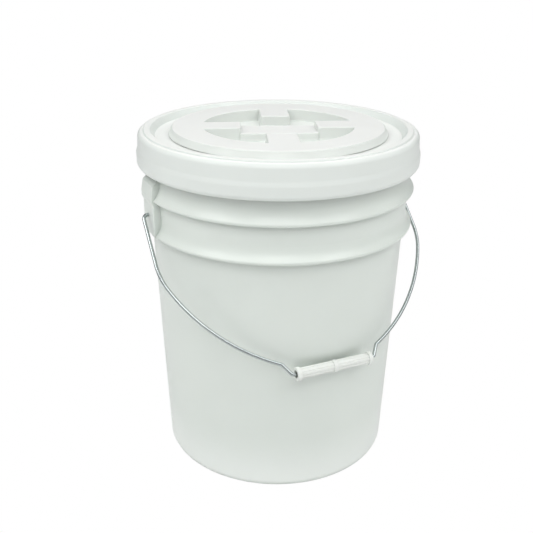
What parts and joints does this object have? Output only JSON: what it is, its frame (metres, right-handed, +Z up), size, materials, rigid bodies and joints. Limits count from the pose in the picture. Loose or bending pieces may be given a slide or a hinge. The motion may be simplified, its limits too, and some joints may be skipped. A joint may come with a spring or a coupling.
{
  "type": "pail",
  "caption": "Round tapered plastic pail with stiffening ribs, a press-on threaded adapter ring, a spin-off lid with a recessed cross, and a wire bail with a tube grip.",
  "frame": {"origin": "centre of the pail's foot, on the plane that it stands on", "axes": "+Z up along the pail's axis, +X along the bail's pivot axis, -Y towards the side where the bail hangs at rest"},
  "size_m": [0.328, 0.3186, 0.3937],
  "materials": {
    "pail_plastic": "satin white high-density polyethylene with a faint cool cast",
    "ring_plastic": "semi-gloss white polyethylene",
    "lid_plastic": "semi-gloss white polyethylene, slightly warmer than the pail",
    "gasket_rubber": "matt black EPDM",
    "wire_steel": "bright drawn galvanised steel wire",
    "grip_plastic": "smooth white polyethylene"
  },
  "bodies": {
    "pail": {"pail": "pail_plastic", "snap_ring": "ring_plastic", "ring_gasket": "gasket_rubber"},
    "lid_seal": {"lid_gasket": "gasket_rubber"},
    "spin_lid": {"spin_lid": "lid_plastic"},
    "bail": {"bail_wire": "wire_steel"},
    "grip": {"bail_grip": "grip_plastic"}
  },
  "joints": [
    {"name": "lid_rise", "type": "slide", "parent": "pail", "child": "lid_seal", "axis": [0, 0, 1], "range_m": [0, 0.03]},
    {"name": "lid_spin", "type": "hinge", "parent": "lid_seal", "child": "spin_lid", "pos_m": [0, 0, 0.385], "axis": [0, 0, 1], "range_deg": [0, 900]},
    {"name": "bail_swing", "type": "hinge", "parent": "pail", "child": "bail", "pos_m": [0, 0, 0.308], "axis": [-1, 0, 0], "range_deg": [0, 269.2]},
    {"name": "grip_spin", "type": "hinge", "parent": "bail", "child": "grip", "pos_m": [0, -0.14846, 0.1616], "axis": [1, 0, 0], "continuous": true}
  ],
  "couplings": [
    {"joint": "lid_rise", "follows": "lid_spin", "m_per_rad": 0.0019099}
  ]
}
